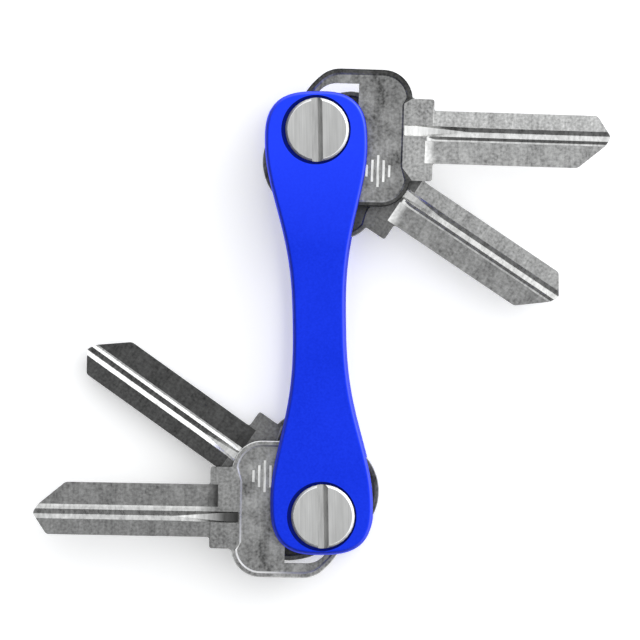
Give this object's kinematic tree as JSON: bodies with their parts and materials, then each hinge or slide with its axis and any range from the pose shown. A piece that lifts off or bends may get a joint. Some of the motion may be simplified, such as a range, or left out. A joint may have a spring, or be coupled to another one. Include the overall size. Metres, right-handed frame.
{
  "type": "pocket key organiser",
  "caption": "Slim pocket key organiser: two waisted blue plates joined by slotted screws, with key blanks that fan out from a post at each end.",
  "frame": {"origin": "on the outer face of the back plate, midway between the two posts, which is the middle of the part's box at its lowest point", "axes": "+Y along the plates towards the upper post, +X across them to the side on which the upper keys fan out, +Z out of the front plate"},
  "size_m": [0.0987, 0.0861, 0.0131],
  "materials": {
    "anodised_blue": "fine satin blue anodising",
    "brushed_steel": "brushed face with bright turned bevels",
    "spacer_steel": "plain rolled stainless steel",
    "nickel_key": "grainy nickel plating with bright milled grooves"
  },
  "bodies": {
    "holder": {"back_plate": "anodised_blue", "front_plate": "anodised_blue", "post_upper": "brushed_steel", "post_lower": "brushed_steel", "screw_upper": "brushed_steel", "screw_lower": "brushed_steel", "spacer_upper_1a": "spacer_steel", "spacer_upper_1b": "spacer_steel", "spacer_upper_3a": "spacer_steel", "spacer_upper_3b": "spacer_steel", "spacer_lower_2a": "spacer_steel", "spacer_lower_2b": "spacer_steel", "spacer_lower_4a": "spacer_steel", "spacer_lower_4b": "spacer_steel"},
    "key_upper_front": {"key_upper_front": "nickel_key"},
    "key_lower_front": {"key_lower_front": "nickel_key"},
    "key_upper_rear": {"key_upper_rear": "nickel_key"},
    "key_lower_rear": {"key_lower_rear": "nickel_key"}
  },
  "joints": [
    {"name": "key_upper_front_turn", "type": "hinge", "parent": "holder", "child": "key_upper_front", "pos_m": [0, 0.0326, 0.0097], "axis": [0, 0, 1], "continuous": true},
    {"name": "key_lower_front_turn", "type": "hinge", "parent": "holder", "child": "key_lower_front", "pos_m": [0, -0.0326, 0.0075], "axis": [0, 0, 1], "continuous": true},
    {"name": "key_upper_rear_turn", "type": "hinge", "parent": "holder", "child": "key_upper_rear", "pos_m": [0, 0.0326, 0.0053], "axis": [0, 0, 1], "continuous": true},
    {"name": "key_lower_rear_turn", "type": "hinge", "parent": "holder", "child": "key_lower_rear", "pos_m": [0, -0.0326, 0.0031], "axis": [0, 0, 1], "continuous": true}
  ]
}
